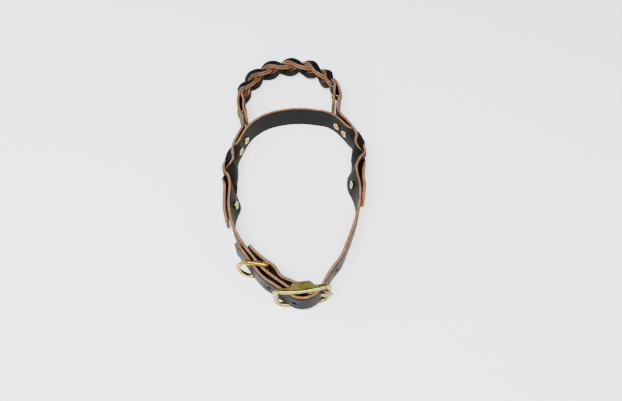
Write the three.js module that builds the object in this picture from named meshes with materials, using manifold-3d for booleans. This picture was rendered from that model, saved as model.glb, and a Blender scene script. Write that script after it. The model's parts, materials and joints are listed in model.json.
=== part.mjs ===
// A buckle dog collar of bridle leather with a plaited grab handle behind the neck.
// It stands on its strap edges: +X to the right, +Y towards the handle, +Z up, in millimetres.
import * as THREE from "three";
import { mergeVertices } from "three/addons/utils/BufferGeometryUtils.js";
import Module from "manifold-3d";

const wasm = await Module();
wasm.setup();

// Leather
const strapWidth = 25.4;
const leather = 3.2;
const fitGap = 0.3;

// Plan size of the neck loop and of the handle
const neckLength = 225;
const neckWidth = 130;
const handleReach = 79;
const handleWidth = 106;

// Each pair of straps passes through the other's slit
const slitHalfHeight = 4.5;
const slitStretch = 1;

// Plaited stretch of the handle
const plaitHalfHeight = 10.8;
const plaitScallop = 1.1;
const plaitThickness = 13;
const plaitBulges = 6;

// Tubular rivets and adjusting holes
const rivetHead = 4.4;
const rivetShank = 1.6;
const rivetDome = 1.7;
const rivetEye = 1;
const holeSpacing = 27;
const holeRadius = 1.7;
const holesBeforeTongue = 2;
const holesAfterTongue = 3;

// Buckle
const buckleLength = 53;
const buckleTurn = 7;
const railHeight = 4.2;
const railGap = 0.9;
const railDepth = 4;
const railBow = 3.3;
const railBevel = 0.8;
const lobeDepth = 11;
const lobeTop = 15;
const lobeFoot = 22;
const lobeFillet = 2;
const plateEdge = 0.7;
const endBarWidth = 5;
const endBarDepth = 3;
const barRadius = 2;
const barInset = 1;
const tongueRadius = 1.4;
const tongueEyeWall = 1.9;
const tongueSlack = 1.1;

// Dee ring
const deeWire = 4.2;
const deeInnerHeight = 26.1;
const deeDepth = 28;
const deeBow = 12.5;
const deeLean = 35;

// Facets round each rod and rivet
const rivetSides = 14;
const barSides = 20;
const rodSides = 5;

const middle = strapWidth / 2;
const up = new THREE.Vector3(0, 0, 1);
const railCentre = middle + railGap + railHeight / 2;
const liftAtBuckle = railGap + railHeight;

// Colours and finishes
const black = new THREE.MeshStandardMaterial({ color: "#2b2e30", roughness: 0.55, metalness: 0 });
const brass = new THREE.MeshStandardMaterial({ color: "#c9b565", roughness: 0.3, metalness: 1 });
const gold = new THREE.MeshStandardMaterial({ color: "#b8912f", roughness: 0.25, metalness: 1 });

// ---------- routes in plan ----------
// The plan points below are drawn on a pattern of this size, and stretched to the sizes above.
const pattern = {
  leather: 3.2,
  neckWidth: 130,
  neckLength: 225,
  handleWidth: 106,
  handleReach: 79,
  handleMiddle: -7,
  handleFoot: 92,
};
const neckScale = new THREE.Vector2(neckWidth / pattern.neckWidth, neckLength / pattern.neckLength);

function neckPoint(x, y) {
  return new THREE.Vector2(x * neckScale.x, y * neckScale.y);
}

// A strap beside another keeps its distance as the leather thickens: side is 1 outside it and -1 inside it.
const thicker = leather - pattern.leather;

function besidePoint(x, y, side) {
  const outward = new THREE.Vector2(x, y).normalize();
  return neckPoint(x, y).addScaledVector(outward, side * thicker);
}

// The buckle keeps its own size, so it and the ends that fit it move together.
const buckleCentre = neckPoint(9.25, -119.6);
const buckleAngle = THREE.MathUtils.degToRad(buckleTurn);

// A point in the buckle's own plan: x along the frame, y towards the neck.
function bucklePoint(x, y) {
  return new THREE.Vector2(x, y).rotateAround(new THREE.Vector2(), buckleAngle).add(buckleCentre);
}

function curveThrough(points) {
  const spots = points.map((p) => new THREE.Vector3(p.x, p.y, 0));
  const curve = new THREE.CatmullRomCurve3(spots, false, "centripetal");
  curve.arcLengthDivisions = 2000;
  return curve;
}

// The strap ends fold back round the buckle's centre bar, outside plies first.
const wrapRadius = barRadius + fitGap + leather / 2;
const barSpot = bucklePoint(0, barInset);

function wrapPoints() {
  const turns = [80, 40, 0, -40, -80];
  return turns.map((turn) => {
    const angle = THREE.MathUtils.degToRad(turn) + buckleAngle;
    return new THREE.Vector2(Math.cos(angle), Math.sin(angle)).multiplyScalar(wrapRadius).add(barSpot);
  });
}

const foldEnd = [
  neckPoint(-41, -75.5), neckPoint(-33, -84), neckPoint(-25, -91), neckPoint(-17.5, -96.4),
  bucklePoint(-17, 14.5), bucklePoint(-9, 9.2), bucklePoint(-3.5, 6),
];
const underPly = [
  bucklePoint(-5, -2), bucklePoint(-10.5, 2), bucklePoint(-16.5, 7.4), bucklePoint(-23, 13.5),
  neckPoint(-23.5, -102.4), neckPoint(-30, -96), neckPoint(-36.5, -87.5), neckPoint(-46, -75),
];
// The four places where the neck strap and the handle strap cross through one another.
const leftUpper = neckPoint(-66.5, 25);
const leftLower = neckPoint(-66.5, 3);
const rightUpper = neckPoint(66.5, 49);
const rightLower = neckPoint(67, 27);

const leftSide = [
  neckPoint(-54, -62), neckPoint(-60, -46), neckPoint(-63.5, -30), neckPoint(-64, -16),
  neckPoint(-64, -7), leftLower, neckPoint(-69.5, 14), leftUpper,
  neckPoint(-62.3, 36), neckPoint(-60, 45), neckPoint(-56, 58),
];
const backSide = [
  neckPoint(-50, 70), neckPoint(-41, 80), neckPoint(-29, 87.5), neckPoint(-12, 92.5), neckPoint(6, 94),
  neckPoint(23, 92), neckPoint(37, 88.5), neckPoint(46.5, 81), neckPoint(54, 71), neckPoint(61, 60),
];
const rightSide = [
  rightUpper, neckPoint(70, 38), rightLower, neckPoint(63.3, 16), neckPoint(64.5, 4),
  neckPoint(66, -8), neckPoint(65, -24), neckPoint(61.5, -42), neckPoint(56.5, -58), neckPoint(51, -72.5),
  neckPoint(45, -87),
];
const billet = [
  bucklePoint(28.5, 16), bucklePoint(24.3, 10.3), bucklePoint(20.3, 4.6), bucklePoint(16.7, -0.8),
  bucklePoint(11.6, -5.6), bucklePoint(5.5, -8.2), bucklePoint(-1.5, -8.4), bucklePoint(-8, -6.3),
  bucklePoint(-13.6, -1.7), bucklePoint(-19.7, 3.2), bucklePoint(-26.1, 8.8), bucklePoint(-33.2, 15.2),
];
const billetTip = [neckPoint(-34.5, -98.5), neckPoint(-44, -85), neckPoint(-53.5, -73)];

// The handle rises behind the neck: its width is taken about its own middle line.
function handlePoint(x, y) {
  const foot = neckPoint(pattern.handleMiddle, pattern.handleFoot);
  return new THREE.Vector2(
    foot.x + (x - pattern.handleMiddle) * (handleWidth / pattern.handleWidth),
    foot.y + (y - pattern.handleFoot) * (handleReach / pattern.handleReach),
  );
}

const leftTail = [
  besidePoint(-64.5, -47, 1), besidePoint(-67.5, -33, 1), besidePoint(-68.3, -22, 1),
  besidePoint(-69, -10, 1), leftLower, besidePoint(-64, 14, -1), leftUpper, besidePoint(-67, 37, 1),
  besidePoint(-64.3, 47, 1), besidePoint(-60.3, 59, 1), besidePoint(-57, 69, 1),
];
const rightTail = [
  besidePoint(56, 78, 1), besidePoint(64.5, 64.5, 1), besidePoint(68, 56, 1), rightUpper,
  besidePoint(64, 38, -1), rightLower, besidePoint(70, 17, 1), besidePoint(70.2, 4, 1),
  besidePoint(70.2, -8, 1), besidePoint(69, -22, 1),
];
const leftRiser = [
  besidePoint(-56.8, 76, 1), handlePoint(-59, 84), handlePoint(-62, 93), handlePoint(-64, 102),
];
const rightRiser = [
  handlePoint(50, 118), handlePoint(48, 108), handlePoint(46, 98), besidePoint(49, 88, 1),
];
const plaitRoute = [
  handlePoint(-62.5, 118), handlePoint(-59, 133), handlePoint(-52, 147), handlePoint(-43, 157.5),
  handlePoint(-31, 165.5), handlePoint(-16, 170), handlePoint(0, 171), handlePoint(14, 168),
  handlePoint(27, 160), handlePoint(38, 148), handlePoint(45, 134),
];
const leftLining = [
  handlePoint(-53, 79), handlePoint(-55, 88), handlePoint(-58, 98), handlePoint(-58.5, 108),
];
const rightLining = [handlePoint(43.5, 124), handlePoint(43, 114), handlePoint(41.5, 103)];

// ---------- solids ----------
function solid(geometry) {
  const bare = geometry.clone();
  bare.deleteAttribute("normal");
  bare.deleteAttribute("uv");
  const merged = mergeVertices(bare, 1e-4);
  return new wasm.Manifold(
    new wasm.Mesh({
      numProp: 3,
      vertProperties: merged.attributes.position.array,
      triVerts: new Uint32Array(merged.index.array),
    }),
  );
}

function meshOf(shape, name, material) {
  const { vertProperties, triVerts } = shape.getMesh();
  const geometry = new THREE.BufferGeometry();
  geometry.setAttribute("position", new THREE.BufferAttribute(vertProperties, 3));
  geometry.setIndex(new THREE.BufferAttribute(triVerts, 1));
  geometry.computeVertexNormals();
  const mesh = new THREE.Mesh(geometry, material);
  mesh.name = name;
  return mesh;
}

// The buckle is taller than the strap, so the front of the collar stands a little off the ground.
function lift(y) {
  const back = neckPoint(0, 80).y;
  return liftAtBuckle * THREE.MathUtils.clamp((back - y) / (back - barSpot.y), 0, 1);
}

// ---------- straps ----------
function routeOf(points) {
  const curve = curveThrough(points);
  const last = points.length - 1;
  return {
    points,
    last,
    at: (index) => curve.getPoint(index / last),
    outward: (index) => up.clone().cross(curve.getTangent(index / last)),
    indexOf: (point) => points.indexOf(point),
  };
}

// A flat strip bent along a route: shape(index) gives its low edge, high edge and thickness.
function strip(route, from, to, shape) {
  const stepsPerPoint = 4;
  const steps = Math.ceil((to - from) * stepsPerPoint);
  const box = new THREE.BoxGeometry(1, 1, 1, steps, 1, 1);
  const spots = box.attributes.position;
  const spot = new THREE.Vector3();
  for (let i = 0; i < spots.count; i += 1) {
    spot.fromBufferAttribute(spots, i);
    const index = THREE.MathUtils.lerp(from, to, spot.x + 0.5);
    const { low, high, thickness } = shape(index);
    const centre = route.at(index);
    const height = lift(centre.y) + (spot.z > 0 ? high : low);
    centre.addScaledVector(route.outward(index), spot.y * thickness);
    spots.setXYZ(i, centre.x, centre.y, height);
  }
  return solid(box);
}

const fullWidth = () => ({ low: 0, high: strapWidth, thickness: leather });

// The stretch of a strap that passes through a slit, with its clearance.
function passing(route, centre) {
  const band = () => ({
    low: middle - slitHalfHeight - fitGap / 2,
    high: middle + slitHalfHeight + fitGap / 2,
    thickness: leather + 2 * fitGap,
  });
  return strip(route, centre - slitStretch, centre + slitStretch, band);
}

// The two legs beside a slit, with their clearance; the cut runs on past the strap's edges.
const overCut = 1;

function legs(route, centre) {
  const upper = () => ({
    low: middle + slitHalfHeight - fitGap / 2,
    high: strapWidth + overCut,
    thickness: leather + 2 * fitGap,
  });
  const lower = () => ({
    low: -overCut,
    high: middle - slitHalfHeight + fitGap / 2,
    thickness: leather + 2 * fitGap,
  });
  const from = centre - slitStretch;
  const to = centre + slitStretch;
  return strip(route, from, to, upper).add(strip(route, from, to, lower));
}

const neckRoute = routeOf([
  ...foldEnd, ...wrapPoints(), ...underPly, ...leftSide, ...backSide, ...rightSide, ...billet, ...billetTip,
]);

// The plaited stretch holds both plies: each takes one half of its thickness.
const plaitPly = (plaitThickness - fitGap) / 2;

function plaitSide(sign) {
  const curve = curveThrough(plaitRoute);
  const last = plaitRoute.length - 1;
  return plaitRoute.map((point, i) => {
    const outward = up.clone().cross(curve.getTangent(i / last));
    const shift = (sign * (plaitPly + fitGap)) / 2;
    return new THREE.Vector2(point.x + outward.x * shift, point.y + outward.y * shift);
  });
}

const outerPlait = plaitSide(1);
const innerPlait = plaitSide(-1);
const handleRoute = routeOf([...leftTail, ...leftRiser, ...outerPlait, ...rightRiser, ...rightTail]);
const liningRoute = routeOf([...leftLining, ...innerPlait, ...rightLining]);

// Plain strap up to the plait, then the bulging outline of the plaited strands.
function plaitedShape(route, plait) {
  const first = route.indexOf(plait[0]);
  const last = route.indexOf(plait[plait.length - 1]);
  return (index) => {
    const share = (index - first) / (last - first);
    const inside = THREE.MathUtils.smoothstep(Math.min(share, 1 - share), -0.02, 0.06);
    const wave = plaitScallop * Math.cos(2 * Math.PI * plaitBulges * share);
    const half = THREE.MathUtils.lerp(middle, plaitHalfHeight - plaitScallop, inside);
    return {
      low: middle - half + inside * wave,
      high: middle + half + inside * wave,
      thickness: THREE.MathUtils.lerp(leather, plaitPly, inside),
    };
  };
}

// ---------- rivets ----------
// The index, within a stretch of a route, of the point nearest to a spot.
function nearestIndex(route, spot, from, to) {
  const count = 600;
  let best = from;
  for (let i = 0; i <= count; i += 1) {
    const index = THREE.MathUtils.lerp(from, to, i / count);
    if (route.at(index).distanceTo(spot) < route.at(best).distanceTo(spot)) best = index;
  }
  return best;
}

// A rivet runs from the inner strap to the outer one, square to the pair.
function rivetPlace(name, spot, inner, innerSpan, outer, outerSpan) {
  const near = new THREE.Vector3(spot.x, spot.y, 0);
  const start = inner.at(nearestIndex(inner, near, ...innerSpan));
  const end = outer.at(nearestIndex(outer, start, ...outerSpan));
  const axis = end.clone().sub(start).normalize();
  const reach = end.distanceTo(start) / 2 + leather / 2 + fitGap;
  const centre = start.add(end).multiplyScalar(0.5);
  centre.z = middle + lift(centre.y);
  return { name, centre, axis, reach };
}

const leftStrip = [0, handleRoute.indexOf(outerPlait[0])];
const rightStrip = [handleRoute.indexOf(outerPlait[outerPlait.length - 1]), handleRoute.last];
const leftNeck = [neckRoute.indexOf(leftSide[0]), neckRoute.indexOf(backSide[4])];
const rightNeck = [neckRoute.indexOf(backSide[4]), neckRoute.indexOf(rightSide[rightSide.length - 1])];
const foldSpan = [0, foldEnd.length - 1];
const underSpan = [neckRoute.indexOf(underPly[0]), neckRoute.indexOf(leftSide[0])];
const liningMiddle = liningRoute.last / 2;

const rivets = [
  rivetPlace("rivet_neck_left_rear", neckPoint(-55, 60), neckRoute, leftNeck, handleRoute, leftStrip),
  rivetPlace("rivet_neck_left_front", neckPoint(-60, 45), neckRoute, leftNeck, handleRoute, leftStrip),
  rivetPlace("rivet_neck_right_rear", neckPoint(47, 81), neckRoute, rightNeck, handleRoute, rightStrip),
  rivetPlace("rivet_neck_right_front", neckPoint(55, 70), neckRoute, rightNeck, handleRoute, rightStrip),
  rivetPlace("rivet_tail_left", neckPoint(-63.8, -25), neckRoute, leftNeck, handleRoute, leftStrip),
  rivetPlace("rivet_tail_right", neckPoint(65, 0), neckRoute, rightNeck, handleRoute, rightStrip),
  rivetPlace("rivet_handle_left", leftLining[2], liningRoute, [0, liningMiddle], handleRoute, leftStrip),
  rivetPlace("rivet_handle_right", rightLining[0], liningRoute, [liningMiddle, liningRoute.last],
    handleRoute, rightStrip),
  rivetPlace("rivet_fold_rear", foldEnd[1], neckRoute, foldSpan, neckRoute, underSpan),
  rivetPlace("rivet_fold_front", bucklePoint(-14, 12), neckRoute, foldSpan, neckRoute, underSpan),
];

// Turns a shape made along +Y so that it lies along the rivet, its facets off the strap's own edges.
function alongRivet(geometry, { centre, axis }) {
  const facetTurn = 0.13;
  const turn = new THREE.Quaternion().setFromUnitVectors(new THREE.Vector3(0, 1, 0), axis);
  return geometry.rotateY(facetTurn).applyQuaternion(turn).translate(centre.x, centre.y, centre.z);
}

// Domed head outside, rolled ring with an open eye inside.
function makeRivet(place) {
  const { reach } = place;
  const profile = [
    [0, -reach + rivetDome / 2], [rivetEye, -reach + rivetDome / 2], [rivetEye, -reach - rivetDome / 2],
    [rivetHead * 0.6, -reach - rivetDome * 0.7], [rivetHead, -reach - rivetDome * 0.3], [rivetHead, -reach],
    [rivetShank, -reach], [rivetShank, reach], [rivetHead, reach],
    [rivetHead * 0.9, reach + rivetDome * 0.4], [rivetHead * 0.5, reach + rivetDome * 0.9],
    [0, reach + rivetDome],
  ];
  const points = profile.map(([radius, along]) => new THREE.Vector2(radius, along));
  return solid(alongRivet(new THREE.LatheGeometry(points, rivetSides), place));
}

// The hole for the shank, and the seats that the two heads press into the leather.
function rivetHole(place) {
  const seatDepth = rivetDome + fitGap;
  const seatPlace = place.reach - fitGap + seatDepth / 2;
  const drillLength = 2 * (place.reach + seatDepth);
  const drill = rivetShank + fitGap;
  const rim = rivetHead + fitGap;
  const hole = new THREE.CylinderGeometry(drill, drill, drillLength, rivetSides);
  const seat = () => new THREE.CylinderGeometry(rim, rim, seatDepth, rivetSides);
  return solid(alongRivet(hole, place))
    .add(solid(alongRivet(seat().translate(0, seatPlace, 0), place)))
    .add(solid(alongRivet(seat().translate(0, -seatPlace, 0), place)));
}

// ---------- buckle ----------
// Plan outline of a rail: ends in line with the end bars, a bow at the middle and a lobe to the neck side.
function railOutline() {
  const half = buckleLength / 2;
  const end = half - railBevel;
  const lobeEnd = lobeDepth - railBow - railDepth / 2;
  const front = (x) => -railDepth / 2 - railBow * (1 - (x / half) ** 2);
  const outline = new THREE.Shape();
  const steps = 12;
  outline.moveTo(-half, 0);
  for (let i = 0; i <= steps; i += 1) {
    const x = THREE.MathUtils.lerp(-end, end, i / steps);
    outline.lineTo(x, front(x));
  }
  outline.lineTo(half, 0);
  outline.lineTo(end, railDepth / 2);
  outline.lineTo(lobeFoot / 2 + lobeFillet, plateEdge);
  outline.quadraticCurveTo(lobeFoot / 2, plateEdge, lobeFoot / 2 - railBevel, lobeFillet);
  outline.lineTo(lobeTop / 2, lobeEnd);
  outline.lineTo(-lobeTop / 2, lobeEnd);
  outline.lineTo(-lobeFoot / 2 + railBevel, lobeFillet);
  outline.quadraticCurveTo(-lobeFoot / 2, plateEdge, -lobeFoot / 2 - lobeFillet, plateEdge);
  outline.lineTo(-end, railDepth / 2);
  outline.closePath();
  return outline;
}

function makeRail(height) {
  const rail = new THREE.ExtrudeGeometry(railOutline(), {
    depth: railHeight - 2 * railBevel,
    bevelEnabled: true,
    bevelThickness: railBevel,
    bevelSize: railBevel,
    bevelOffset: -railBevel,
    bevelSegments: 1,
    curveSegments: 3,
  });
  return solid(rail.translate(0, 0, height - railHeight / 2 + railBevel));
}

function makeBuckleFrame() {
  const endPlace = (buckleLength - endBarWidth) / 2;
  const endHeight = 2 * railCentre;
  const endBar = () => new THREE.BoxGeometry(endBarWidth, endBarDepth, endHeight);
  const leftEnd = solid(endBar().translate(-endPlace, 0, 0));
  const rightEnd = solid(endBar().translate(endPlace, 0, 0));
  const bar = new THREE.CylinderGeometry(barRadius, barRadius, endHeight, barSides).rotateX(Math.PI / 2);
  return makeRail(railCentre)
    .add(makeRail(-railCentre))
    .add(leftEnd)
    .add(rightEnd)
    .add(solid(bar.translate(0, barInset, 0)));
}

// A rod along a smooth path, in the buckle's own plan.
function rod(points, radius, sides, steps) {
  const section = new THREE.Shape().absarc(0, 0, radius, 0, 2 * Math.PI);
  const path = new THREE.CatmullRomCurve3(points);
  return new THREE.ExtrudeGeometry(section, { extrudePath: path, steps, curveSegments: sides });
}

const tongueEyeInner = barRadius + fitGap;
const tongueEyeOuter = tongueEyeInner + tongueEyeWall;
const tongueSteps = 14;

// The tongue leaves its eye, curves forward through the strap and rests on the end bar, its tip just past it.
function tonguePath() {
  const restDepth = -endBarDepth / 2 - fitGap - tongueRadius;
  const restPlace = (buckleLength - endBarWidth) / 2;
  const tipRise = 0.3;
  return [
    new THREE.Vector3(tongueEyeInner + tongueEyeWall * 0.4, barInset * 0.6, 0),
    new THREE.Vector3(restPlace * 0.375, restDepth * 0.2, 0),
    new THREE.Vector3(restPlace * 0.667, restDepth * 0.75, 0),
    new THREE.Vector3(restPlace, restDepth, 0),
    new THREE.Vector3(restPlace + endBarWidth * 0.7, restDepth + tipRise, 0),
  ];
}

function makeTongue() {
  const wall = tongueEyeWall / 2;
  const ring = new THREE.TorusGeometry(tongueEyeInner + wall, wall, 8, 24).translate(0, barInset, 0);
  return solid(ring).add(solid(rod(tonguePath(), tongueRadius, rodSides, tongueSteps)));
}

// The slot in the fold for the tongue's eye, and the stretched hole in the billet for the tongue.
function tongueSlot() {
  const half = tongueRadius + tongueSlack;
  const width = 2 * (tongueEyeOuter + tongueSlack);
  const slot = new THREE.BoxGeometry(width, width, 2 * half).translate(0, barInset, 0);
  return solid(slot).add(solid(rod(tonguePath(), tongueRadius + tongueSlack, rodSides, tongueSteps)));
}

// ---------- dee ring ----------
// Straight bar upright in the fold, midway between its two plies; round bow outside the straps.
const deeIndex = foldEnd.length - 4.34;

function deeSeat() {
  const folded = neckRoute.at(deeIndex);
  const underIndex = nearestIndex(neckRoute, folded, ...underSpan);
  const outward = neckRoute.outward(underIndex);
  const strapRun = THREE.MathUtils.radToDeg(Math.atan2(outward.y, outward.x)) - 90;
  return { spot: folded.add(neckRoute.at(underIndex)).multiplyScalar(0.5), turn: strapRun + deeLean };
}

function makeDee() {
  const half = (deeInnerHeight + deeWire) / 2;
  const bowStart = deeDepth - deeBow;
  const points = [new THREE.Vector3(0, 0, half), new THREE.Vector3(bowStart * 0.5, 0, half)];
  const arcSteps = 10;
  for (let i = 0; i <= arcSteps; i += 1) {
    const angle = (Math.PI * i) / arcSteps;
    points.push(new THREE.Vector3(bowStart + deeBow * Math.sin(angle), 0, half * Math.cos(angle)));
  }
  points.push(new THREE.Vector3(bowStart * 0.5, 0, -half), new THREE.Vector3(0, 0, -half));
  const bowSteps = 36;
  const bow = solid(rod(points, deeWire / 2, rodSides, bowSteps));
  const bar = new THREE.CylinderGeometry(deeWire / 2, deeWire / 2, 2 * half, barSides).rotateX(Math.PI / 2);
  const corner = new THREE.SphereGeometry(deeWire / 2, barSides, barSides / 2).rotateX(Math.PI / 2);
  return bow
    .add(solid(bar))
    .add(solid(corner.clone().translate(0, 0, half)))
    .add(solid(corner.translate(0, 0, -half)));
}

// ---------- adjusting holes ----------
// Round holes through the billet, spaced along it from the one the tongue uses.
function adjustingHoles() {
  const from = neckRoute.indexOf(rightSide[rightSide.length - 5]);
  const samples = 900;
  const used = nearestIndex(
    neckRoute, new THREE.Vector3(billet[3].x, billet[3].y, 0), neckRoute.indexOf(billet[2]), neckRoute.last,
  );
  let travelled = 0;
  let before = neckRoute.at(from);
  const spots = [];
  for (let i = 1; i <= samples; i += 1) {
    const index = THREE.MathUtils.lerp(from, neckRoute.last, i / samples);
    const spot = neckRoute.at(index);
    travelled += spot.distanceTo(before);
    before = spot;
    spots.push({ index, travelled });
  }
  const zero = spots.find((s) => s.index >= used).travelled;
  const holes = [];
  for (let n = -holesBeforeTongue; n <= holesAfterTongue; n += 1) {
    const found = spots.find((s) => s.travelled >= zero + n * holeSpacing);
    if (n !== 0 && found) holes.push(found.index);
  }
  return holes.map((index) => {
    const centre = neckRoute.at(index);
    centre.z = middle + lift(centre.y);
    return { centre, axis: neckRoute.outward(index), reach: leather / 2 };
  });
}

function makeHole({ centre, axis, reach }) {
  const drill = new THREE.CylinderGeometry(holeRadius, holeRadius, 2 * (reach + fitGap), rivetSides);
  return solid(alongRivet(drill, { centre, axis }));
}

// ---------- assembly ----------
function cutAll(shape, cutters) {
  return cutters.reduce((left, cutter) => left.subtract(cutter), shape);
}

const buckleBase = new THREE.Matrix4()
  .makeTranslation(buckleCentre.x, buckleCentre.y, middle + liftAtBuckle)
  .multiply(new THREE.Matrix4().makeRotationZ(buckleAngle));

function placed(shape, matrix) {
  return shape.transform(matrix.elements);
}

function makeNeckStrap(holes) {
  const whole = strip(neckRoute, 0, neckRoute.last, fullWidth);
  return cutAll(whole, [
    legs(handleRoute, handleRoute.indexOf(leftUpper)),
    legs(handleRoute, handleRoute.indexOf(rightUpper)),
    passing(handleRoute, handleRoute.indexOf(leftLower)),
    passing(handleRoute, handleRoute.indexOf(rightLower)),
    placed(tongueSlot(), buckleBase),
    ...adjustingHoles().map(makeHole),
    ...holes,
  ]);
}

function makeHandleStrap(holes) {
  const whole = strip(handleRoute, 0, handleRoute.last, plaitedShape(handleRoute, outerPlait));
  return cutAll(whole, [
    passing(neckRoute, neckRoute.indexOf(leftUpper)),
    passing(neckRoute, neckRoute.indexOf(rightUpper)),
    legs(neckRoute, neckRoute.indexOf(leftLower)),
    legs(neckRoute, neckRoute.indexOf(rightLower)),
    ...holes,
  ]);
}

function makeHandleLining(holes) {
  const whole = strip(liningRoute, 0, liningRoute.last, plaitedShape(liningRoute, innerPlait));
  return cutAll(whole, holes);
}

function makeCollar() {
  const collar = new THREE.Group();
  const holes = rivets.map(rivetHole);
  collar.add(meshOf(makeNeckStrap(holes), "neck_strap", black));
  collar.add(meshOf(makeHandleStrap(holes), "handle_strap", black));
  collar.add(meshOf(makeHandleLining(holes), "handle_lining", black));
  for (const place of rivets) collar.add(meshOf(makeRivet(place), place.name, brass));

  const buckle = new THREE.Group();
  buckle.applyMatrix4(buckleBase);
  buckle.add(meshOf(makeBuckleFrame(), "buckle_frame", brass));
  buckle.add(meshOf(makeTongue(), "buckle_tongue", brass));
  collar.add(buckle);

  const dee = meshOf(makeDee(), "dee_ring", gold);
  const seat = deeSeat();
  dee.position.set(seat.spot.x, seat.spot.y, middle + lift(seat.spot.y));
  dee.rotation.z = THREE.MathUtils.degToRad(seat.turn);
  collar.add(dee);

  // The origin is at the middle of the collar's footprint, on the surface it stands on.
  const bounds = new THREE.Box3().setFromObject(collar, true);
  const centre = bounds.getCenter(new THREE.Vector3());
  collar.position.set(-centre.x, -centre.y, -bounds.min.z);
  return collar;
}

export default makeCollar();
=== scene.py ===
"""A black leather dog collar with a brass buckle, a dee ring and a plaited grab handle, on a pale floor.

Lengths are in millimetres until a mesh is made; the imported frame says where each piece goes.
"""

import json
import math

import bmesh
import bpy
import numpy as np
from mathutils import Matrix, Vector


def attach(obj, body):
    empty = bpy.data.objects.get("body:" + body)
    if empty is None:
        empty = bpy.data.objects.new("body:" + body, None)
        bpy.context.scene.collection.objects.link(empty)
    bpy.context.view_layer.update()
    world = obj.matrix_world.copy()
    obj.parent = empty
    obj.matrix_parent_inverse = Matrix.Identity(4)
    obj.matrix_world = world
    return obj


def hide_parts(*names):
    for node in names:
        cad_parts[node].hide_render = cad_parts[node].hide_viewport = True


MM = 0.001
UP = Vector((0, 0, 1))

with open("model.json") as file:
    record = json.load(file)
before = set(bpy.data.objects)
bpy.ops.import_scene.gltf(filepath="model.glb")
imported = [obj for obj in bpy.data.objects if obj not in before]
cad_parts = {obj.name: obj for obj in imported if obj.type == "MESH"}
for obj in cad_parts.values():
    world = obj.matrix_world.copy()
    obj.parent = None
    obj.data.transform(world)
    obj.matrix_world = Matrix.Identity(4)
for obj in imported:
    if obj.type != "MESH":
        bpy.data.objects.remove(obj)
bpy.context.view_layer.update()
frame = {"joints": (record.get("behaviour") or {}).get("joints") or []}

# Leather
STRAP_WIDTH = 25.4
HALF = STRAP_WIDTH / 2
LEATHER = 3.2
EDGE_ROUND = 0.45
DYE_LINE = 0.35
STATION = 1.5
TIP_ROUND = 1.5
TAIL_ROUND = 7
HOLE_STEP = 27
HOLE_RADIUS = 2.3

# Buckle, in its own plan: x along the frame, y towards the neck
BUCKLE_TURN = math.radians(7)
BUCKLE_LENGTH = 53
RAIL_HEIGHT = 4.2
RAIL_GAP = 0.9
RAIL_DEPTH = 4
RAIL_BOW = 3.3
END_BAR_WIDTH = 5
RIM_CORNER = 4.5
BAR_RADIUS = 2
BAR_INSET = 1
BAR_SLACK = 0.3
TONGUE_RADIUS = 1.4
TONGUE_EYE = 0.95
RAIL_CENTRE = HALF + RAIL_GAP + RAIL_HEIGHT / 2
FRONT_LIFT = RAIL_GAP + RAIL_HEIGHT

PLATE = 2.8
LOBE_TOP = 15
LOBE_REACH = 5.7
PLATE_EDGE = 0.75
PLATE_INSET = 4.5

# Dee ring
DEE_WIRE = 4.2
DEE_HEIGHT = 26.1
DEE_DEPTH = 28
DEE_BOW = 12.5
DEE_CORNER = 2.4
DEE_TURN = math.radians(171.93)

# Plait
STRANDS = 3
STRAND_WIDTH = 8.5
PLAIT_PLY = 2.6
PLAIT_PERIOD = 73
PLAIT_START = 10
PLAIT_HEIGHT = 7.2
PLAIT_DEPTH = 3.7
PLAIT_FAN = 15
STRAND_TUCK = 1.5
STRAND_GAP = 0.1
STRAND_DOME = 0.45
STRAND_LEAN = math.radians(26)
STRAND_ROLL = math.radians(-50)

# Rivets
RIVET_HEAD = 4.4
RIVET_DOME = 1.7
RIVET_SHANK = 1.6
ROLL_RADIUS = 2.9
ROLL_WIDTH = 1.45
ROLL_HEIGHT = 1.1
EYE_RADIUS = 1.35
RIVETS = (
    "rivet_neck_left_rear", "rivet_neck_left_front", "rivet_neck_right_rear", "rivet_neck_right_front",
    "rivet_tail_left", "rivet_tail_right", "rivet_handle_left", "rivet_handle_right",
    "rivet_fold_rear", "rivet_fold_front",
)
LEANING_RIVETS = ("rivet_tail_left", "rivet_tail_right")

JOINTS = {joint["name"]: joint for joint in frame["joints"]}


# ---------- places in plan ----------
def joint_plan(name):
    spot = JOINTS[name]["pos_m"]
    return Vector((spot[0] / MM, spot[1] / MM))


DEE_PIVOT = joint_plan("dee_swing")
BAR_SPOT = joint_plan("buckle_rock")
PLAN_ORIGIN = DEE_PIVOT - Vector((-22.839, -97.393))
BUCKLE_CENTRE = BAR_SPOT - Vector((-math.sin(BUCKLE_TURN), math.cos(BUCKLE_TURN))) * BAR_INSET


def at(x, y):
    """A plan point, counted from the middle of the neck loop."""
    return PLAN_ORIGIN + Vector((x, y))


def by_buckle(x, y):
    """A plan point in the buckle's own frame."""
    turned = Vector((x, y))
    turned.rotate(Matrix.Rotation(BUCKLE_TURN, 2))
    return BUCKLE_CENTRE + turned


def lift(y):
    """How far a strap's lower edge stands off the floor: the buckle holds the front up."""
    back = at(0, 80).y
    share = (back - y) / (back - BAR_SPOT.y)
    return FRONT_LIFT * min(1, max(0, share))


def ease(low, high, value):
    share = min(1, max(0, (value - low) / (high - low)))
    return share * share * (3 - 2 * share)


def bell(value, reach):
    return math.exp(-((value / reach) ** 2))


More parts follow.
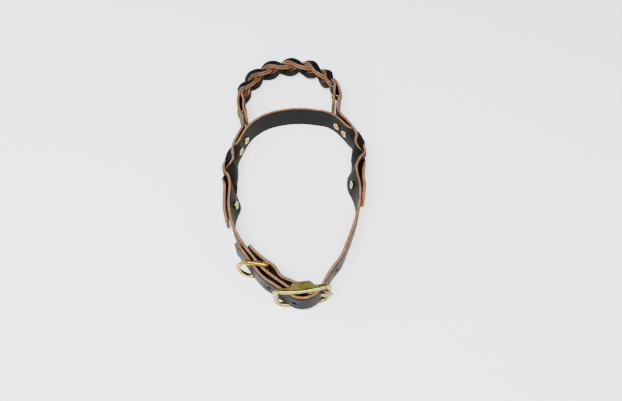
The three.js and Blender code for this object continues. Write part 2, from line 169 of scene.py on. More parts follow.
# ---------- routes ----------
class Route:
    """A smooth curve through plan points, measured along its length."""

    def __init__(self, points, per_span=16):
        self.points = points
        line = []
        for i in range(len(points) - 1):
            before = points[i - 1] if i else points[0] * 2 - points[1]
            after = points[i + 2] if i + 2 < len(points) else points[-1] * 2 - points[-2]
            ends = (before, points[i], points[i + 1], after)
            line += [self._between(*ends, j / per_span) for j in range(per_span)]
        line.append(points[-1])
        self.line = np.array([(p.x, p.y) for p in line])
        steps = np.linalg.norm(np.diff(self.line, axis=0), axis=1)
        self.along = np.concatenate([[0], np.cumsum(steps)])
        self.length = float(self.along[-1])

    @staticmethod
    def _between(p0, p1, p2, p3, share):
        """Centripetal Catmull-Rom from p1 to p2."""
        a, b, c = (math.sqrt((q - p).length) for p, q in ((p0, p1), (p1, p2), (p2, p3)))
        leave = ((p1 - p0) / a - (p2 - p0) / (a + b) + (p2 - p1) / b) * b
        reach = ((p2 - p1) / b - (p3 - p1) / (b + c) + (p3 - p2) / c) * b
        t, u = share, 1 - share
        return p1 * (1 + 2 * t) * u * u + leave * t * u * u + p2 * t * t * (3 - 2 * t) - reach * t * t * u

    def spot(self, s):
        if s < 0 or s > self.length:
            end = min(max(s, 0), self.length)
            return self.spot(end) + self.tangent(end) * (s - end)
        return Vector([np.interp(s, self.along, self.line[:, axis]) for axis in (0, 1)])

    def tangent(self, s):
        low, high = max(0, s - 0.6), min(self.length, s + 0.6)
        return (self.spot(high) - self.spot(low)).normalized()

    def outward(self, s):
        ahead = self.tangent(s)
        return Vector((-ahead.y, ahead.x, 0))

    def measure(self, point):
        """The length along the route at its point nearest to a plan point."""
        away = np.linalg.norm(self.line - np.array((point.x, point.y)), axis=1)
        return float(self.along[int(away.argmin())])

    def offset(self, distance):
        return [
            p + self.outward(self.measure(p)).to_2d() * distance for p in self.points
        ]


def bar_wrap():
    radius = BAR_RADIUS + BAR_SLACK + LEATHER / 2
    turns = [math.radians(a) + BUCKLE_TURN for a in (80, 40, 0, -40, -80)]
    return [BAR_SPOT + Vector((math.cos(a), math.sin(a))) * radius for a in turns]


FOLD_END = [
    at(-41, -75.5), at(-33, -84), at(-25, -91), at(-17.5, -96.4),
    by_buckle(-17, 14.5), by_buckle(-9, 9.2), by_buckle(-3.5, 6),
]
UNDER_PLY = [
    by_buckle(-5, -2), by_buckle(-10.5, 2), by_buckle(-16.5, 7.4), by_buckle(-23, 13.5),
    at(-23.5, -102.4), at(-30, -96), at(-36.5, -87.5), at(-46, -75),
]
LEFT_UPPER = at(-67, 24.5)
LEFT_LOWER = at(-66.5, 3)
RIGHT_UPPER = at(69.5, 45)
RIGHT_LOWER = at(67, 25)
LEFT_SIDE = [
    at(-54, -62), at(-60, -46), at(-63.5, -30), at(-64, -16), at(-64, -7), LEFT_LOWER, at(-71.5, 11),
    at(-71.5, 18), LEFT_UPPER, at(-63.3, 34), at(-60, 45), at(-56, 58),
]
BACK_SIDE = [
    at(-50, 70), at(-41, 80), at(-29, 87.5), at(-12, 92.5), at(6, 94), at(23, 92), at(37, 88.5),
    at(46.5, 81), at(54, 71), at(61, 60),
]
RIGHT_SIDE = [
    at(66, 52), RIGHT_UPPER, at(73.3, 36), RIGHT_LOWER, at(63.3, 16), at(64.5, 4), at(66, -8), at(65, -24),
    at(61.5, -42), at(56.5, -58), at(51, -72.5), at(45, -87),
]
BILLET = [
    by_buckle(28.5, 16), by_buckle(24.3, 10.3), by_buckle(20.3, 4.6), by_buckle(16.7, -0.8),
    by_buckle(11.6, -5.6), by_buckle(5.5, -8.2), by_buckle(-1.5, -8.4), by_buckle(-8, -6.3),
    by_buckle(-13.6, -1.7), by_buckle(-19.7, 3.2), by_buckle(-26.1, 8.8), by_buckle(-33.2, 15.2),
]
BILLET_TIP = [at(-34.5, -98.5), at(-44, -85), at(-53.5, -73)]
LEFT_TAIL = [
    at(-64.5, -47), at(-67.5, -33), at(-68.3, -22), at(-69, -10), LEFT_LOWER, at(-62.5, 12), at(-62, 23),
    at(-64.8, 34), at(-64.3, 47), at(-60.3, 59), at(-57, 69), at(-56.8, 76), at(-59, 84), at(-62, 93),
    at(-64, 102),
]
RIGHT_TAIL = [
    at(50, 118), at(48, 108), at(46, 98), at(49, 88), at(56, 78), at(63.8, 64.5), at(65.5, 56),
    at(63.5, 49), at(62, 38), RIGHT_LOWER, at(70, 17), at(70.2, 4), at(70.2, -8), at(69, -22),
]
PLAIT_POINTS = [
    at(-62.5, 118), at(-59, 133), at(-52, 147), at(-43, 157.5), at(-31, 165.5), at(-16, 170), at(0, 171),
    at(14, 168), at(27, 160), at(38, 148), at(45, 134),
]
LEFT_LINING = [at(-53, 79), at(-55, 88), at(-58, 98), at(-58.5, 108)]
RIGHT_LINING = [at(43.5, 124), at(43, 114), at(41.5, 103)]

NECK = Route(FOLD_END + bar_wrap() + UNDER_PLY + LEFT_SIDE + BACK_SIDE + RIGHT_SIDE + BILLET + BILLET_TIP)
PLAIT = Route(PLAIT_POINTS)
OUTER_PLY = PLAIT.offset(PLAIT_PLY / 2)
INNER_PLY = PLAIT.offset(-PLAIT_PLY / 2)
HANDLE = Route(LEFT_TAIL + OUTER_PLY + RIGHT_TAIL)
LINING = Route(LEFT_LINING + INNER_PLY + RIGHT_LINING)

# Where each strap passes through the other's slit, and how far its upper edge turns ahead of its middle;
# then where it is slit itself, and where the neck strap leans beside the tails and over what reach.
NECK_UPPER = [(NECK.measure(LEFT_UPPER), 6.6), (NECK.measure(RIGHT_UPPER), -10)]
NECK_LOWER = [NECK.measure(LEFT_LOWER), NECK.measure(RIGHT_LOWER)]
NECK_LEANING = [(NECK.measure(at(-63.8, -22)), 15), (NECK.measure(at(65, 4)), 21)]
HANDLE_UPPER = [HANDLE.measure(LEFT_UPPER), HANDLE.measure(RIGHT_UPPER)]
HANDLE_LOWER = [(HANDLE.measure(LEFT_LOWER), 6), (HANDLE.measure(RIGHT_LOWER), -6)]

TWIST = math.radians(78)
TWIST_REACH = 10
CURL = 0.26
CURL_REACH = 15
PARTING = 1.6
PARTING_REACH = 11
LEAN = math.radians(19)


# ---------- leather ----------
def leather_section(columns=10):
    """Points round a strap: share of the half width, extra width, share of the thickness, surface."""
    shares = [1 - 2 * i / columns for i in range(columns + 1)]
    corner = EDGE_ROUND / LEATHER
    shoulder = 0.5 * (1 - 0.6 * corner)
    edge = [
        (0.7 * EDGE_ROUND, shoulder), (EDGE_ROUND, DYE_LINE), (1.1 * EDGE_ROUND, 0),
        (EDGE_ROUND, -DYE_LINE), (0.7 * EDGE_ROUND, -shoulder),
    ]
    outer = [(share, 0, 0.5, "outer") for share in shares]
    down = ("outer", "edge", "edge", "inner", "inner")
    up = ("inner", "edge", "edge", "outer", "outer")
    low = [(-1, out, n, name) for (out, n), name in zip(edge, down)]
    inner = [(-share, 0, -0.5, "inner") for share in shares]
    high = [(1, out, n, name) for (out, n), name in zip(edge[::-1], up)]
    return outer + low + inner + high + outer[:1]


SECTION = leather_section()
SURFACES = {"outer": 0, "edge": 1, "inner": 2}


def add_skin(bm, rows, around, place, closed=False, surface=None):
    """A grid wrapped into a skin: place(row, step) gives a point, surface(step) a strip's material."""
    made = bmesh.ops.create_grid(bm, x_segments=rows, y_segments=around, size=0.5)["verts"]
    uv = bm.loops.layers.uv.verify()
    for face in {face for vert in made for face in vert.link_faces}:
        face.smooth = True
        if surface:
            steps = [round((loop.vert.co.y + 0.5) * around) for loop in face.loops]
            face.material_index = surface(min(steps))
        for loop in face.loops:
            loop[uv].uv = (round((loop.vert.co.x + 0.5) * rows) / rows, loop.vert.co.y + 0.5)
    for vert in made:
        vert.co = place(round((vert.co.x + 0.5) * rows), round((vert.co.y + 0.5) * around)) * MM
    bmesh.ops.remove_doubles(bm, verts=made, dist=1e-6)
    if closed:
        return []
    edges = {edge for vert in made if vert.is_valid for edge in vert.link_edges}
    rims = [edge for edge in edges if edge.is_boundary]
    return bmesh.ops.holes_fill(bm, edges=rims)["faces"]


def add_ribbon(bm, stations, half_width, thickness, place, dome=0.0):
    """A closed leather strip: place(s, w, n) gives the point w across and n through the strip at length s."""

    def point(row, step):
        share, extra, through, _ = SECTION[step]
        s = stations[row]
        w = share * (half_width(s) - EDGE_ROUND) + math.copysign(extra, share)
        n = through * thickness
        if abs(through) == 0.5:
            n += math.copysign(dome * (1 - share * share), through)
        return place(s, w, n)

    def surface(step):
        return SURFACES[SECTION[step][3]]

    for face in add_skin(bm, len(stations) - 1, len(SECTION) - 1, point, surface=surface):
        face.material_index = SURFACES["edge"]


def stations_between(start, end, round_start=0.0, round_end=0.0):
    """Even steps along a strap, closer together where an end is rounded."""
    quarter = [1 - math.cos(math.pi / 2 * i / 6) for i in range(6)]
    first, last = start + round_start, end - round_end
    count = max(2, round((last - first) / STATION))
    middle = [first + (last - first) * i / count for i in range(count + 1)]
    head = [start + round_start * share for share in quarter] if round_start else []
    tail = [end - round_end * share for share in reversed(quarter)] if round_end else []
    return head + middle + tail


def rounded_width(start, end, round_start=0.0, round_end=0.0, half=HALF):
    def width(s):
        for near, radius in ((s - start, round_start), (end - s, round_end)):
            if radius and near < radius:
                return half - radius + math.sqrt(max(0, radius**2 - (radius - near) ** 2)) + 0.01
        return half

    return width


def strap_lean(s, leaning):
    """Beside the tails the strap's lower edge is pushed in while its upper edge stays put."""
    return sum(LEAN * bell(s - mid, reach) for mid, reach in leaning)


def strap_place(route, passing=(), parting=(), leaning=()):
    """Places a strap along its route, twisted through a slit, parted where it is slit, or leaning out."""

    def place(s, w, n):
        centre, out = route.spot(s), route.outward(s)
        lean = strap_lean(s, leaning)
        turns = [bell(s - mid - skew * w / HALF, TWIST_REACH) for mid, skew in passing]
        tilt = lean + TWIST * sum(turns)
        narrow = 1 - sum(CURL * bell(s - mid, CURL_REACH) for mid, _ in passing)
        stretch = 1 + sum(PARTING / HALF * bell(s - mid, PARTING_REACH) for mid in parting)
        wide = UP * math.cos(tilt) + out * math.sin(tilt)
        normal = out * math.cos(tilt) - UP * math.sin(tilt)
        middle = Vector((centre.x, centre.y, HALF + lift(centre.y))) - out * math.sin(lean) * HALF
        spot = middle + wide * w * narrow * stretch + normal * n
        spot.z = max(spot.z, 0)
        return spot

    return place


def strand_turn(strand, s):
    return math.radians(60) + math.tau * ((s - PLAIT_START) / PLAIT_PERIOD + strand / STRANDS)


def strand_mix(s):
    return ease(0, PLAIT_FAN, min(s, PLAIT.length - s))


def strand_centre(strand, s):
    """Three strands fan out of the strap, then weave up and down and in and out."""
    turn, mix = strand_turn(strand, s), strand_mix(s)
    flat = (1 - strand) * STRAND_WIDTH
    height = flat + (PLAIT_HEIGHT * math.sin(turn) - flat) * mix
    depth = PLAIT_DEPTH * math.sin(2 * turn) * mix
    spot = PLAIT.spot(s)
    return Vector((spot.x, spot.y, HALF + height)) + PLAIT.outward(s) * depth


def strand_place(strand, side):
    """A strand rolls over the plait's top and under its foot; side is +1 outside and -1 for the lining."""

    def place(s, w, n):
        ahead = (strand_centre(strand, s + 0.5) - strand_centre(strand, s - 0.5)).normalized()
        tilt = (STRAND_LEAN - STRAND_ROLL * math.sin(strand_turn(strand, s))) * strand_mix(s)
        out = PLAIT.outward(s)
        normal = out * math.cos(tilt) + UP * math.sin(tilt)
        normal = (normal - ahead * normal.dot(ahead)).normalized()
        wide = ahead.cross(normal)
        if wide.dot(UP * math.cos(tilt) - out * math.sin(tilt)) < 0:
            wide.negate()
        return strand_centre(strand, s) + wide * w + normal * (n + side * (PLAIT_PLY / 2 + 0.06))

    return place


def add_strands(bm, side):
    stations = stations_between(-STRAND_TUCK, PLAIT.length + STRAND_TUCK)
    for strand in range(STRANDS):
        place = strand_place(strand, side)
        add_ribbon(bm, stations, lambda s: STRAND_WIDTH / 2 - STRAND_GAP, PLAIT_PLY, place, STRAND_DOME)


def add_strap(bm, route, start, end, rounds=(0.0, 0.0), **weave):
    """A plain stretch of strap with square or rounded ends."""
    stations = stations_between(start, end, *rounds)
    add_ribbon(bm, stations, rounded_width(start, end, *rounds), LEATHER, strap_place(route, **weave))


# ---------- pieces ----------
def piece(name, bm, body, node, materials):
    """Turns a bmesh into a finished piece that stands for a CAD node."""
    bmesh.ops.recalc_face_normals(bm, faces=bm.faces)
    mesh = bpy.data.meshes.new(name)
    bm.to_mesh(mesh)
    bm.free()
    for material in materials:
        mesh.materials.append(material)
    made = bpy.data.objects.new(name, mesh)
    bpy.context.collection.objects.link(made)
    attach(made, body)
    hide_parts(node)
    return made


def punch(strap, spots):
    """Cuts the adjusting holes with a plain cylinder across the strap at each; the hole walls are painted
    shade.
    """
    bm = bmesh.new()
    for s in spots:
        centre, out = NECK.spot(s), NECK.outward(s)
        middle = Vector((centre.x, centre.y, HALF + lift(centre.y)))
        place = Matrix.Translation(middle) @ UP.rotation_difference(out).to_matrix().to_4x4()
        radius, depth = HOLE_RADIUS * MM, 2 * LEATHER * MM
        cylinder = bmesh.ops.create_cone(
            bm, cap_ends=True, segments=20, radius1=radius, radius2=radius, depth=depth
        )
        settle(bm, place, cylinder["verts"])
    # painted shade: the hole walls take the black flesh-side finish instead of the tan cut edge, so the holes
    # read dark
    for face in bm.faces:
        face.material_index = SURFACES["inner"]
    mesh = bpy.data.meshes.new("hole punches")
    bm.to_mesh(mesh)
    bm.free()
    for material in strap.data.materials:
        mesh.materials.append(material)
    cutter = bpy.data.objects.new("hole punches", mesh)
    bpy.context.collection.objects.link(cutter)
    cut = strap.modifiers.new("holes", "BOOLEAN")
    cut.operation, cut.solver, cut.object = "DIFFERENCE", "EXACT", cutter
    shape = strap.evaluated_get(bpy.context.evaluated_depsgraph_get())
    strap.data = bpy.data.meshes.new_from_object(shape)
    strap.modifiers.clear()
    bpy.data.objects.remove(cutter)


def make_neck_strap(materials):
    bm = bmesh.new()
    weave = {"passing": NECK_UPPER, "parting": NECK_LOWER, "leaning": NECK_LEANING}
    add_strap(bm, NECK, 0, NECK.length, (TIP_ROUND, TIP_ROUND), **weave)
    strap = piece("neck_strap_leather", bm, "straps", "neck_strap", materials)
    tongue = NECK.measure(by_buckle(16.7, -0.8))
    punch(strap, [tongue + HOLE_STEP * n for n in range(-2, 4)])
    return strap


def make_handle_strap(materials):
    bm = bmesh.new()
    first, last = HANDLE.measure(OUTER_PLY[0]), HANDLE.measure(OUTER_PLY[-1])
    weave = {"passing": HANDLE_LOWER, "parting": HANDLE_UPPER}
    add_strap(bm, HANDLE, 0, first, (TAIL_ROUND, 0), **weave)
    add_strap(bm, HANDLE, last, HANDLE.length, (0, TAIL_ROUND), **weave)
    add_strands(bm, 1)
    return piece("handle_strap_leather", bm, "straps", "handle_strap", materials)


def make_handle_lining(materials):
    bm = bmesh.new()
    first, last = LINING.measure(INNER_PLY[0]), LINING.measure(INNER_PLY[-1])
    add_strap(bm, LINING, 0, first, (TAIL_ROUND, 0))
    add_strap(bm, LINING, last, LINING.length, (0, TAIL_ROUND))
    add_strands(bm, -1)
    return piece("handle_lining_leather", bm, "straps", "handle_lining", materials)


# ---------- metal ----------
def add_rod(bm, path, radius, sides=20, across=UP, closed=False):
    """A round rod along a flat path of points: radius(share) may taper, across stands square to the path."""
    rows = len(path) - (0 if closed else 1)

    def point(row, step):
        here = path[row % len(path)]
        if closed:
            ahead = path[(row + 1) % len(path)] - path[row - 1 - (row == len(path))]
        else:
            ahead = path[min(row + 1, len(path) - 1)] - path[max(row - 1, 0)]
        side = across.cross(ahead.normalized())
        turn = math.tau * (step % sides) / sides
        return here + (across * math.sin(turn) + side * math.cos(turn)) * radius(row / rows)

    add_skin(bm, rows, sides, point, closed)


def settle(bm, matrix, verts=None):
    """Moves a shape from its own origin to its place on the collar, given in millimetres."""
    place = Matrix.Scale(MM, 4) @ matrix @ Matrix.Scale(1 / MM, 4)
    bmesh.ops.transform(bm, matrix=place, verts=verts or bm.verts)


BUCKLE_PLACE = Matrix.Translation((*BUCKLE_CENTRE, HALF + FRONT_LIFT)) @ Matrix.Rotation(BUCKLE_TURN, 4, "Z")


def front_edge(x):
    """The rail bows out to the front between the end bars."""
    return -RAIL_DEPTH / 2 - RAIL_BOW * (1 - (x / (BUCKLE_LENGTH / 2)) ** 2)


def rail_plate():
    """Plan outline of a rail: the bowed front, and the lobe that carries the centre bar."""
    half = BUCKLE_LENGTH / 2 - PLATE_INSET
    front = [(x, front_edge(x) + 1.2) for x in np.linspace(-half, half, 21)]
    right = [(half, 0.9), (15.5, 0.9), (12.4, 0.9), (11, 1.6), (10.1, 2.8), (9, 4)]
    right.append((LOBE_TOP / 2, LOBE_REACH))
    return front + right + [(-x, y) for x, y in reversed(right)]


def add_rail(bm, height):
    """A thin flat plate with bevelled edges behind the rim, with the lobe that carries the centre bar."""
    outline = [bm.verts.new((x * MM, y * MM, (height - PLATE / 2) * MM)) for x, y in rail_plate()]
    face = bm.faces.new(outline)
    raised = bmesh.ops.extrude_face_region(bm, geom=[face])["geom"]
    tops = [item for item in raised if isinstance(item, bmesh.types.BMVert)]
    bmesh.ops.translate(bm, verts=tops, vec=(0, 0, PLATE * MM))
    plate = set(outline) | set(tops)
    edges = [edge for edge in bm.edges if plate.issuperset(edge.verts)]
    bmesh.ops.bevel(
        bm, geom=edges, offset=PLATE_EDGE * MM, segments=3, profile=0.5, affect="EDGES", material=-1
    )


def rim_path():
    """The frame's rim: a rounded rectangle seen from the front, bowed out along both rails."""
    side = (BUCKLE_LENGTH - END_BAR_WIDTH) / 2
    across = side - RIM_CORNER
    rise = RAIL_CENTRE - RIM_CORNER
    quarter = [math.pi / 2 * i / 10 for i in range(11)]
    top = [(x, RAIL_CENTRE) for x in np.linspace(-across, across, 41)[1:-1]]
    right = [(across + RIM_CORNER * math.sin(a), rise + RIM_CORNER * math.cos(a)) for a in quarter]
    left = [(-x, z) for x, z in reversed(right)]
    upper = left + top + right
    down = [(side, z) for z in np.linspace(rise, -rise, 17)[1:-1]]
    loop = upper + down + [(-x, -z) for x, z in upper] + [(-x, -z) for x, z in down]
    return [Vector((x, front_edge(x) + 1.5 + ease(across, side, abs(x)) * 0.9, z)) for x, z in loop]


def add_rim(bm):
    """A half-round rim, slimmer along the rails and broad over the end bars."""
    path = rim_path()
    rows = len(path)

    def point(row, step):
        here = path[row % rows]
        ahead = (path[(row + 1) % rows] - path[row % rows - 1]).normalized()
        side = ahead.cross(Vector((0, 1, 0))).normalized()
        broad = ease(BUCKLE_LENGTH / 2 - 9, BUCKLE_LENGTH / 2 - 3, abs(here.x))
        turn = math.tau * (step % 24) / 24
        depth, breadth = 1.85 - 0.35 * broad, 2.05 + 0.4 * broad
        round_off = 1 - 0.12 * broad * abs(math.sin(2 * turn)) ** 2
        around = Vector((0, 1, 0)) * depth * math.sin(turn) + side * breadth * math.cos(turn)
        return here + around * round_off

    add_skin(bm, rows, 24, point, closed=True)


def make_buckle_frame(material):
    bm = bmesh.new()
    for height in (RAIL_CENTRE, -RAIL_CENTRE):
        add_rail(bm, height)
    add_rim(bm)
    bar = [Vector((0, BAR_INSET, z)) for z in np.linspace(-RAIL_CENTRE, RAIL_CENTRE, 9)]
    add_rod(bm, bar, lambda share: BAR_RADIUS, 20, across=Vector((0, 1, 0)))
    for face in bm.faces:
        face.smooth = len(face.verts) <= 4
    settle(bm, BUCKLE_PLACE)
    return piece("buckle_frame_brass", bm, "buckle", "buckle_frame", [material])


def make_buckle_tongue(material):
    bm = bmesh.new()
    knots = ((3.1, 0.6), (9, -0.6), (16, -2.4), (24, -3.2), (27.5, -2.9))
    course = Route([Vector(knot) for knot in knots])
    path = [course.spot(s).to_3d() for s in np.linspace(0, course.length, 40)]
    add_rod(bm, path, tongue_radius, 20)
    reach = BAR_RADIUS + BAR_SLACK + TONGUE_EYE
    ring = [
        Vector((reach * math.cos(a), BAR_INSET + reach * math.sin(a), 0))
        for a in (math.tau * i / 40 for i in range(40))
    ]
    add_rod(bm, ring, lambda share: TONGUE_EYE, 16, closed=True)
    settle(bm, BUCKLE_PLACE)
    return piece("buckle_tongue_brass", bm, "tongue", "buckle_tongue", [material])


def tongue_radius(share):
    """The tongue tapers along its length and ends in a rounded tip."""
    tip = math.sqrt(max(0.02, 1 - max(0, (share - 0.965) / 0.035) ** 2))
    return TONGUE_RADIUS * (1.06 - 0.25 * ease(0.55, 1, share)) * tip


def make_dee_ring(material):
    bm = bmesh.new()
    half = (DEE_HEIGHT + DEE_WIRE) / 2
    start, corner = DEE_DEPTH - DEE_BOW, DEE_CORNER
    quarter = [math.pi / 2 * i / 8 for i in range(9)]
    top = [
        Vector((corner * (1 - math.sin(a)), 0, half - corner * (1 - math.cos(a))))
        for a in reversed(quarter)
    ]
    arm = [Vector((x, 0, half)) for x in np.linspace(corner + 1.2, start, 12)]
    bow = [
        Vector((start + DEE_BOW * math.sin(a), 0, half * math.cos(a)))
        for a in (math.pi * i / 48 for i in range(1, 48))
    ]
    upper = top + arm
    lower = [Vector((p.x, 0, -p.z)) for p in reversed(upper)]
    bar = [Vector((0, 0, z)) for z in np.linspace(-half + corner + 1.5, half - corner - 1.5, 14)]
    path = upper + bow + lower + bar
    add_rod(bm, path, lambda share: DEE_WIRE / 2, 24, across=Vector((0, 1, 0)), closed=True)
    place = Matrix.Translation((*DEE_PIVOT, HALF + lift(DEE_PIVOT.y)))
    settle(bm, place @ Matrix.Rotation(DEE_TURN, 4, "Z"))
    return piece("dee_ring_brass", bm, "dee", "dee_ring", [material])


def rivet_line(node):
    """A rivet's middle, half grip and direction towards its domed head, from its plain solid."""
    solid = bpy.data.objects[node]
    spots = np.array([solid.matrix_world @ vert.co for vert in solid.data.vertices]) / MM
    centre = (spots.min(axis=0) + spots.max(axis=0)) / 2
    _, _, axes = np.linalg.svd(spots - spots.mean(axis=0))
    best = None
    for axis in axes:
        along = (spots - centre) @ axis
        ring = np.linalg.norm(spots - centre - np.outer(along, axis), axis=1)
        tip = ring[along.argmax()], ring[along.argmin()]
        if best is None or ring.max() < best[0]:
            best = (ring.max(), axis if tip[0] < tip[1] else -axis)
    axis = best[1]
    along = (spots - centre) @ axis
    grip = (along.max() - along.min() - 1.5 * RIVET_DOME) / 2
    middle = centre + axis * (along.max() - RIVET_DOME - grip)
    return Vector(middle), grip, Vector(axis)


def make_rivet(node, material):
    """A tubular rivet: a domed head outside, its end rolled into a ring with a dark eye inside."""
    middle, grip, axis = rivet_line(node)
    if node in LEANING_RIVETS:
        stretch = HALF * math.sin(LEAN) / 2
        middle, grip = middle - axis * stretch, grip + stretch
        axis = (axis * math.cos(LEAN / 2) - UP * math.sin(LEAN / 2)).normalized()
    head, dome, shank = RIVET_HEAD, RIVET_DOME, RIVET_SHANK
    profile = [(0, grip + dome)]
    profile += [
        (head * math.sin(a), grip + 0.15 + (dome - 0.15) * math.cos(a))
        for a in np.linspace(0.15, 1.45, 9)
    ]
    profile += [(head, grip), (head - 0.3, grip - 0.35), (shank, grip - 0.4), (shank, 0.4 - grip)]
    profile += [(head - 0.3, 0.35 - grip), (head, -grip)]
    profile += [
        (ROLL_RADIUS + ROLL_WIDTH * math.cos(a), -grip - 0.1 - ROLL_HEIGHT * math.sin(a))
        for a in np.linspace(0.3, math.pi, 9)
    ]
    profile += [(EYE_RADIUS, 1.9 - grip), (0, 2.1 - grip)]
    bm = bmesh.new()
    verts = [bm.verts.new((radius * MM, 0, along * MM)) for radius, along in profile]
    edges = [bm.edges.new(pair) for pair in zip(verts, verts[1:])]
    bmesh.ops.spin(
        bm, geom=verts + edges, cent=(0, 0, 0), axis=(0, 0, 1), angle=math.tau, steps=32,
        use_merge=True,
    )
    bmesh.ops.remove_doubles(bm, verts=bm.verts, dist=1e-6)
    for face in bm.faces:
        face.smooth = True
    settle(bm, Matrix.Translation(middle) @ UP.rotation_difference(axis).to_matrix().to_4x4())
    return piece(node + "_brass", bm, "straps", node, [material])


# ---------- materials ----------
def colour(code):
    """An sRGB hex colour as the linear colour the shaders want."""
    parts = [int(code[i : i + 2], 16) / 255 for i in (1, 3, 5)]
    return (*(p / 12.92 if p <= 0.04045 else ((p + 0.055) / 1.055) ** 2.4 for p in parts), 1)


def add(tree, kind, inputs=None, stops=None, **settings):
    """Adds one node; an input is a plain value or another node's output."""
    node = tree.nodes.new("ShaderNode" + kind)
    for name, value in settings.items():
        setattr(node, name, value)
    for socket, value in (inputs or {}).items():
        if isinstance(value, bpy.types.NodeSocket):
            tree.links.new(value, node.inputs[socket])
        else:
            node.inputs[socket].default_value = value
    if stops:
        elements = node.color_ramp.elements
        while len(elements) < len(stops):
            elements.new(0.5)
        for element, (position, code) in zip(elements, stops):
            element.position, element.color = position, colour(code)
    return node


def new_material(name):
    material = bpy.data.materials.new(name)
    material.use_nodes = True
    tree = material.node_tree
    tree.nodes.clear()
    spots = add(tree, "TexCoord").outputs
    return material, tree, spots


def finish_material(tree, shader):
    add(tree, "OutputMaterial", {"Surface": shader.outputs[0]})


def latigo_face():
    """Waxed latigo grain side: near black, a cool waxy bloom, fine pores and soft creases."""
    material, tree, spots = new_material("waxed latigo leather grain")
    where = spots["Object"]
    cloud = add(tree, "TexNoise", {"Vector": where, "Scale": 1 / 0.014, "Detail": 4, "Roughness": 0.55})
    tones = [(0.3, "#0b0d0f"), (0.55, "#111519"), (0.8, "#1b2228")]
    tone = add(tree, "ValToRGB", {"Fac": cloud.outputs[0]}, stops=tones)
    pores = add(tree, "TexVoronoi", {"Vector": where, "Scale": 1 / 0.0011}, feature="DISTANCE_TO_EDGE")
    grain = add(tree, "TexNoise", {"Vector": where, "Scale": 1 / 0.0016, "Detail": 5, "Roughness": 0.6})
    crease = add(tree, "TexNoise", {"Vector": where, "Scale": 1 / 0.007, "Detail": 3, "Distortion": 0.8})
    gloss = add(tree, "MapRange", {
        "Value": cloud.outputs[0], "From Min": 0.3, "From Max": 0.75, "To Min": 0.34, "To Max": 0.5,
    })
    pore_bump = add(tree, "Bump", {"Height": pores.outputs[0], "Strength": 0.12, "Distance": 0.0003})
    grain_bump = add(tree, "Bump", {
        "Height": grain.outputs[0], "Strength": 0.22, "Distance": 0.0003, "Normal": pore_bump.outputs[0],
    })
    crease_bump = add(tree, "Bump", {
        "Height": crease.outputs[0], "Strength": 0.3, "Distance": 0.0006, "Normal": grain_bump.outputs[0],
    })
    shader = add(tree, "BsdfPrincipled", {
        "Base Color": tone.outputs[0], "Roughness": gloss.outputs[0], "Normal": crease_bump.outputs[0],
        "IOR": 1.46, "Specular IOR Level": 0.025,
    })
    finish_material(tree, shader)
    return material


def flesh_side():
    """The strap's inner face: drum-dyed black, matt and slightly fibrous."""
    material, tree, spots = new_material("dyed leather flesh side")
    where = spots["Object"]
    cloud = add(tree, "TexNoise", {"Vector": where, "Scale": 1 / 0.009, "Detail": 4, "Roughness": 0.6})
    tones = [(0.3, "#0a0b0b"), (0.6, "#101212"), (0.85, "#191c1c")]
    tone = add(tree, "ValToRGB", {"Fac": cloud.outputs[0]}, stops=tones)
    nap = add(tree, "TexNoise", {"Vector": where, "Scale": 1 / 0.0009, "Detail": 6, "Roughness": 0.7})
    bump = add(tree, "Bump", {"Height": nap.outputs[0], "Strength": 0.35, "Distance": 0.0003})
    shader = add(tree, "BsdfPrincipled", {
        "Base Color": tone.outputs[0], "Roughness": 0.74, "Normal": bump.outputs[0], "IOR": 1.4,
        "Specular IOR Level": 0.16, "Sheen Weight": 0.01, "Sheen Roughness": 0.6,
    })
    finish_material(tree, shader)
    return material


def cut_edge():
    """The raw cut edge: undyed tan fibres in soft patches, with darker flecks, matt."""
    material, tree, spots = new_material("raw cut leather edge")
    where = spots["Object"]
    patch = add(tree, "TexNoise", {"Vector": where, "Scale": 1 / 0.006, "Detail": 4, "Roughness": 0.65})
    fibre = add(tree, "TexNoise", {"Vector": where, "Scale": 1 / 0.0008, "Detail": 4, "Roughness": 0.7})
    tones = [(0.25, "#5c3d22"), (0.5, "#865c38"), (0.78, "#a67a4e")]
    tone = add(tree, "ValToRGB", {"Fac": patch.outputs[0]}, stops=tones)
    flecks = [(0.34, "#8a6a4c"), (0.6, "#ffffff")]
    fleck = add(tree, "ValToRGB", {"Fac": fibre.outputs[0]}, stops=flecks)
    mixed = {"Factor": 0.55, "A": tone.outputs[0], "B": fleck.outputs[0]}
    blend = add(tree, "Mix", mixed, data_type="RGBA", blend_type="MULTIPLY")
    bump = add(tree, "Bump", {"Height": fibre.outputs[0], "Strength": 0.5, "Distance": 0.0003})
    shader = add(tree, "BsdfPrincipled", {
        "Base Color": blend.outputs["Result"], "Roughness": 0.78, "Normal": bump.outputs[0], "IOR": 1.45,
    })
    finish_material(tree, shader)
    return material


def brass(name, tones, gloss, dimpling):
    """Tumbled or turned brass: warm metal with soft stains, uneven gloss and faint dimples."""
    material, tree, spots = new_material(name)
    where = spots["Object"]
    stain = add(tree, "TexNoise", {"Vector": where, "Scale": 1 / 0.008, "Detail": 5, "Roughness": 0.6})
    tone = add(tree, "ValToRGB", {"Fac": stain.outputs[0]}, stops=list(zip((0.3, 0.52, 0.75), tones)))
    dimple = add(tree, "TexNoise", {"Vector": where, "Scale": 1 / 0.0022, "Detail": 3, "Roughness": 0.5})
    low, high = gloss
    rough = add(tree, "MapRange", {
        "Value": stain.outputs[0], "From Min": 0.3, "From Max": 0.75, "To Min": low, "To Max": high,
    })
    bump = add(tree, "Bump", {"Height": dimple.outputs[0], "Strength": dimpling, "Distance": 0.0003})
    shader = add(tree, "BsdfPrincipled", {
        "Base Color": tone.outputs[0], "Metallic": 1, "Roughness": rough.outputs[0],
        "Normal": bump.outputs[0],
    })
    finish_material(tree, shader)
    return material


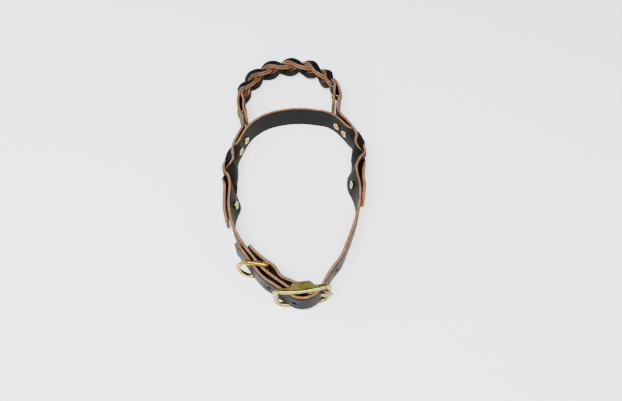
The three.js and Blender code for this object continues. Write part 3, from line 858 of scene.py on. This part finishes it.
# ---------- studio ----------
def make_floor():
    bm = bmesh.new()
    bmesh.ops.create_grid(bm, x_segments=1, y_segments=1, size=4)
    mesh = bpy.data.meshes.new("floor")
    bm.to_mesh(mesh)
    bm.free()
    material, tree, _ = new_material("white studio paper")
    white = colour("#ffffff")
    paper = add(tree, "BsdfPrincipled", {
        "Base Color": white, "Roughness": 0.9, "Emission Color": white, "Emission Strength": 1.0,
    })
    finish_material(tree, paper)
    mesh.materials.append(material)
    floor = bpy.data.objects.new("floor", mesh)
    bpy.context.collection.objects.link(floor)


def add_light(name, place, target, size, power, tint="#ffffff"):
    light = bpy.data.lights.new(name, "AREA")
    light.shape = "RECTANGLE"
    light.size, light.size_y = size
    light.energy = power
    light.color = colour(tint)[:3]
    made = bpy.data.objects.new(name, light)
    made.location = place
    made.rotation_euler = (Vector(target) - Vector(place)).to_track_quat("-Z", "Y").to_euler()
    bpy.context.collection.objects.link(made)


def make_studio():
    make_floor()
    add_light("overhead softbox", (-0.15, -0.42, 1.05), (0, 0, 0), (0.9, 0.4), 26)
    add_light("left softbox", (-1.1, 0.1, 0.6), (0, 0, 0.01), (0.9, 0.9), 14, "#f4f8ff")
    add_light("right fill", (1.2, -0.3, 0.7), (0, 0, 0.01), (0.8, 0.8), 8)
    add_light("front fill", (0.1, -1.2, 0.55), (0, 0, 0.01), (1.0, 0.5), 6)
    world = bpy.data.worlds.new("studio")
    world.use_nodes = True
    tree = world.node_tree
    sky = add(tree, "SeparateXYZ", {"Vector": add(tree, "TexCoord").outputs["Generated"]})
    shades = [(0.02, "#d4d8dc"), (0.3, "#6d7377"), (0.62, "#2c3033"), (0.95, "#e8ecf0")]
    shade = add(tree, "ValToRGB", {"Fac": sky.outputs["Z"]}, stops=shades)
    tree.links.new(shade.outputs[0], tree.nodes["Background"].inputs["Color"])
    tree.nodes["Background"].inputs["Strength"].default_value = 0.8
    bpy.context.scene.world = world


def make_camera():
    lens = bpy.data.cameras.new("camera")
    lens.sensor_width = 36
    lens.lens = 36 * 533 / 622
    camera = bpy.data.objects.new("camera", lens)
    camera.location = (0.01594, -0.32396, 0.4724)
    camera.rotation_euler = (math.radians(90 - 58.4), 0, 0)
    bpy.context.collection.objects.link(camera)
    bpy.context.scene.camera = camera


# ---------- the collar ----------
leathers = [latigo_face(), cut_edge(), flesh_side()]
frame_brass = brass("tumbled cast brass", ("#6a6030", "#968a48", "#b4a862"), (0.2, 0.34), 0.35)
ring_brass = brass("polished drawn brass", ("#7c6012", "#a37f1c", "#c09c30"), (0.14, 0.22), 0.12)
rivet_brass = brass("turned brass rivet", ("#7b6d30", "#ad9a4b", "#c8b866"), (0.2, 0.34), 0.2)

make_neck_strap(leathers)
make_handle_strap(leathers)
make_handle_lining(leathers)
make_buckle_frame(frame_brass)
make_buckle_tongue(frame_brass)
make_dee_ring(ring_brass)
for node in RIVETS:
    make_rivet(node, rivet_brass)

make_studio()
make_camera()
